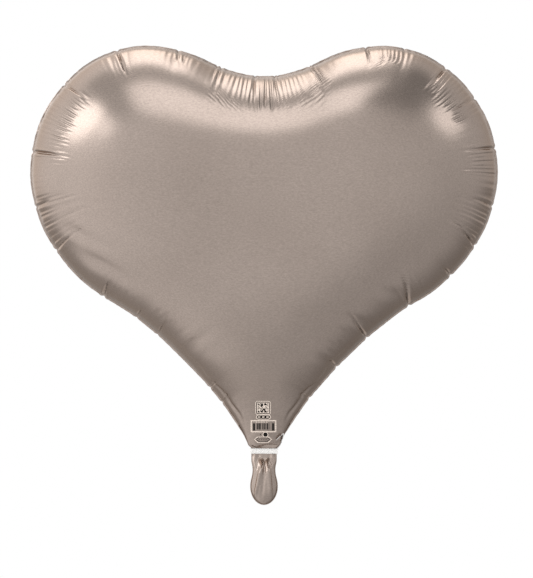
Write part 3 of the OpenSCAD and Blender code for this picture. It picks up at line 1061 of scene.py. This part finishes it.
class Field:
    """A number that varies over the world's directions, built up as a chain of Math nodes."""

    def __init__(self, tree, source):
        self.tree, self.source = tree, source

    def _math(self, operation, *others):
        node = self.tree.nodes.new("ShaderNodeMath")
        node.operation = operation
        for socket, value in zip(node.inputs, (self,) + others):
            if isinstance(value, Field):
                self.tree.links.new(value.source, socket)
            else:
                socket.default_value = value
        return Field(self.tree, node.outputs[0])

    def __add__(self, other):
        return self._math("ADD", other)

    def __sub__(self, other):
        return self._math("SUBTRACT", other)

    def __mul__(self, other):
        return self._math("MULTIPLY", other)

    def __truediv__(self, other):
        return self._math("DIVIDE", other)

    def rises(self, low, high):
        """0 below low, 1 above high, smooth between."""
        node = self.tree.nodes.new("ShaderNodeMapRange")
        node.interpolation_type = "SMOOTHSTEP"
        self.tree.links.new(self.source, node.inputs["Value"])
        set_inputs(node, {"From Min": low, "From Max": high})
        node.clamp = True
        return Field(self.tree, node.outputs["Result"])

    def between(self, low, high, soft):
        return self.rises(low - soft, low + soft) - self.rises(high - soft, high + soft)

    def toward(self, value, share):
        """This field, drawn to a value where share is 1."""
        return self + (self * -1 + value) * share


def studio_light_field(tree):
    """Brightness of the studio by direction: x right and y up of the camera, in degrees."""
    coords = tree.nodes.new("ShaderNodeTexCoord")
    split = tree.nodes.new("ShaderNodeSeparateXYZ")
    tree.links.new(coords.outputs["Generated"], split.inputs[0])
    dx, dy, dz = (Field(tree, split.outputs[k]) for k in range(3))
    angle = (dy * -1)._math("ARCCOSINE") * (180 / math.pi)
    flat = (dx * dx + dz * dz + 1e-6)._math("SQRT")
    x, y = angle * dx / flat, angle * dz / flat
    turn = dx._math("ARCTAN2", dz) * (180 / math.pi)      # 0 straight up, positive to the right
    side, up = dx / flat, dz / flat
    # a room brighter on its left and dimmer below
    light = side * angle.rises(5, 75) * -0.15 + 0.70
    light = light + side._math("MINIMUM", 0) * angle.rises(10, 60) * -0.09
    light = light + up._math("MINIMUM", 0) * angle.rises(10, 55) * 0.13
    for level, around, away in PATCHES:
        reach = angle.between(*away) if len(away) == 3 else angle.rises(*away)
        light = light.toward(level, turn.between(*around) * reach)
    for centre_x, centre_y, reach_x, reach_y, level in SIDE_LIGHTS:
        off_x, off_y = (x - centre_x) / reach_x, (y - centre_y) / reach_y
        light = light.toward(level, ((off_x * off_x + off_y * off_y) * -1 + 1.1).rises(0, 0.6))
    return light * STUDIO_LEVEL


def studio():
    world = bpy.data.worlds.new("studio")
    bpy.context.scene.world = world
    world.use_nodes = True
    tree = world.node_tree
    backdrop = tree.nodes["Background"]
    set_inputs(backdrop, {"Color": (1, 1, 1, 1)})
    room = tree.nodes.new("ShaderNodeBackground")
    tree.links.new(studio_light_field(tree).source, room.inputs["Strength"])
    path = tree.nodes.new("ShaderNodeLightPath")
    pick = tree.nodes.new("ShaderNodeMixShader")
    tree.links.new(path.outputs["Is Camera Ray"], pick.inputs["Fac"])
    tree.links.new(room.outputs["Background"], pick.inputs[1])
    tree.links.new(backdrop.outputs["Background"], pick.inputs[2])
    tree.links.new(pick.outputs["Shader"], tree.nodes["World Output"].inputs["Surface"])
    bpy.context.scene.view_settings.view_transform = "Standard"
    floor = bpy.data.meshes.new("floor")
    a = FLOOR_HALF
    floor.from_pydata([(x, y, FLOOR_Z) for x, y in ((-a, -a), (a, -a), (a, a), (-a, a))],
                      [], [(0, 1, 2, 3)])
    obj = add_object("floor", floor)
    obj.data.materials.append(floor_material())
    obj.visible_glossy = False      # the foil mirrors the room and not the floor's far edge


def camera():
    """Straight from the front and far off, the heart filling the frame's width."""
    distance, view_w = 6.0, 711.43 * MM
    centre_x, centre_z = 3.337 * MM, 216.23 * MM
    data = bpy.data.cameras.new("camera")
    data.sensor_width = 36
    data.sensor_fit = "HORIZONTAL"
    data.lens = data.sensor_width * distance / view_w
    obj = add_object("camera", data)
    obj.location = (centre_x, -distance, centre_z)
    obj.rotation_euler = (math.pi / 2, 0, 0)
    bpy.context.scene.camera = obj


# ---- Assembly ----
camera()
studio()
FOIL = foil_material()
front, back = build_foils()
for obj, nodes in ((front, ("front_foil", "front_tail_foil")),
                   (back, ("back_foil", "back_tail_foil"))):
    obj.data.materials.append(FOIL)
    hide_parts(*nodes)
    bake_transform(obj)

bpy.context.view_layer.update()
dark_ink, light_ink = build_prints(front)
DARK = ink_material("dark_ink", (0.004, 0.0035, 0.003), (0.02, 0.017, 0.015))
LIGHT = ink_material("light_ink", (0.82, 0.71, 0.62), (0.72, 0.61, 0.53))
for obj, ink in ((dark_ink, DARK), (light_ink, LIGHT)):
    obj.data.materials.append(ink)
    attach(obj, "heart")

ribbon = build_ribbon()
ribbon.data.materials.append(ribbon_material())
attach(ribbon, "heart")
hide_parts("tie_ribbon")

FILM = film_material()
VALVE = (
    (build_valve_film("valve_front_film", "valve_film_front", -1), "heart", "valve_front_film"),
    (build_valve_film("valve_back_film", "valve_film_back", 1), "heart", "valve_back_film"),
    (build_sleeve(), "tail", "valve_inlet_sleeve"),
)
for obj, body, node in VALVE:
    obj.data.materials.append(FILM)
    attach(obj, body)
    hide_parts(node)
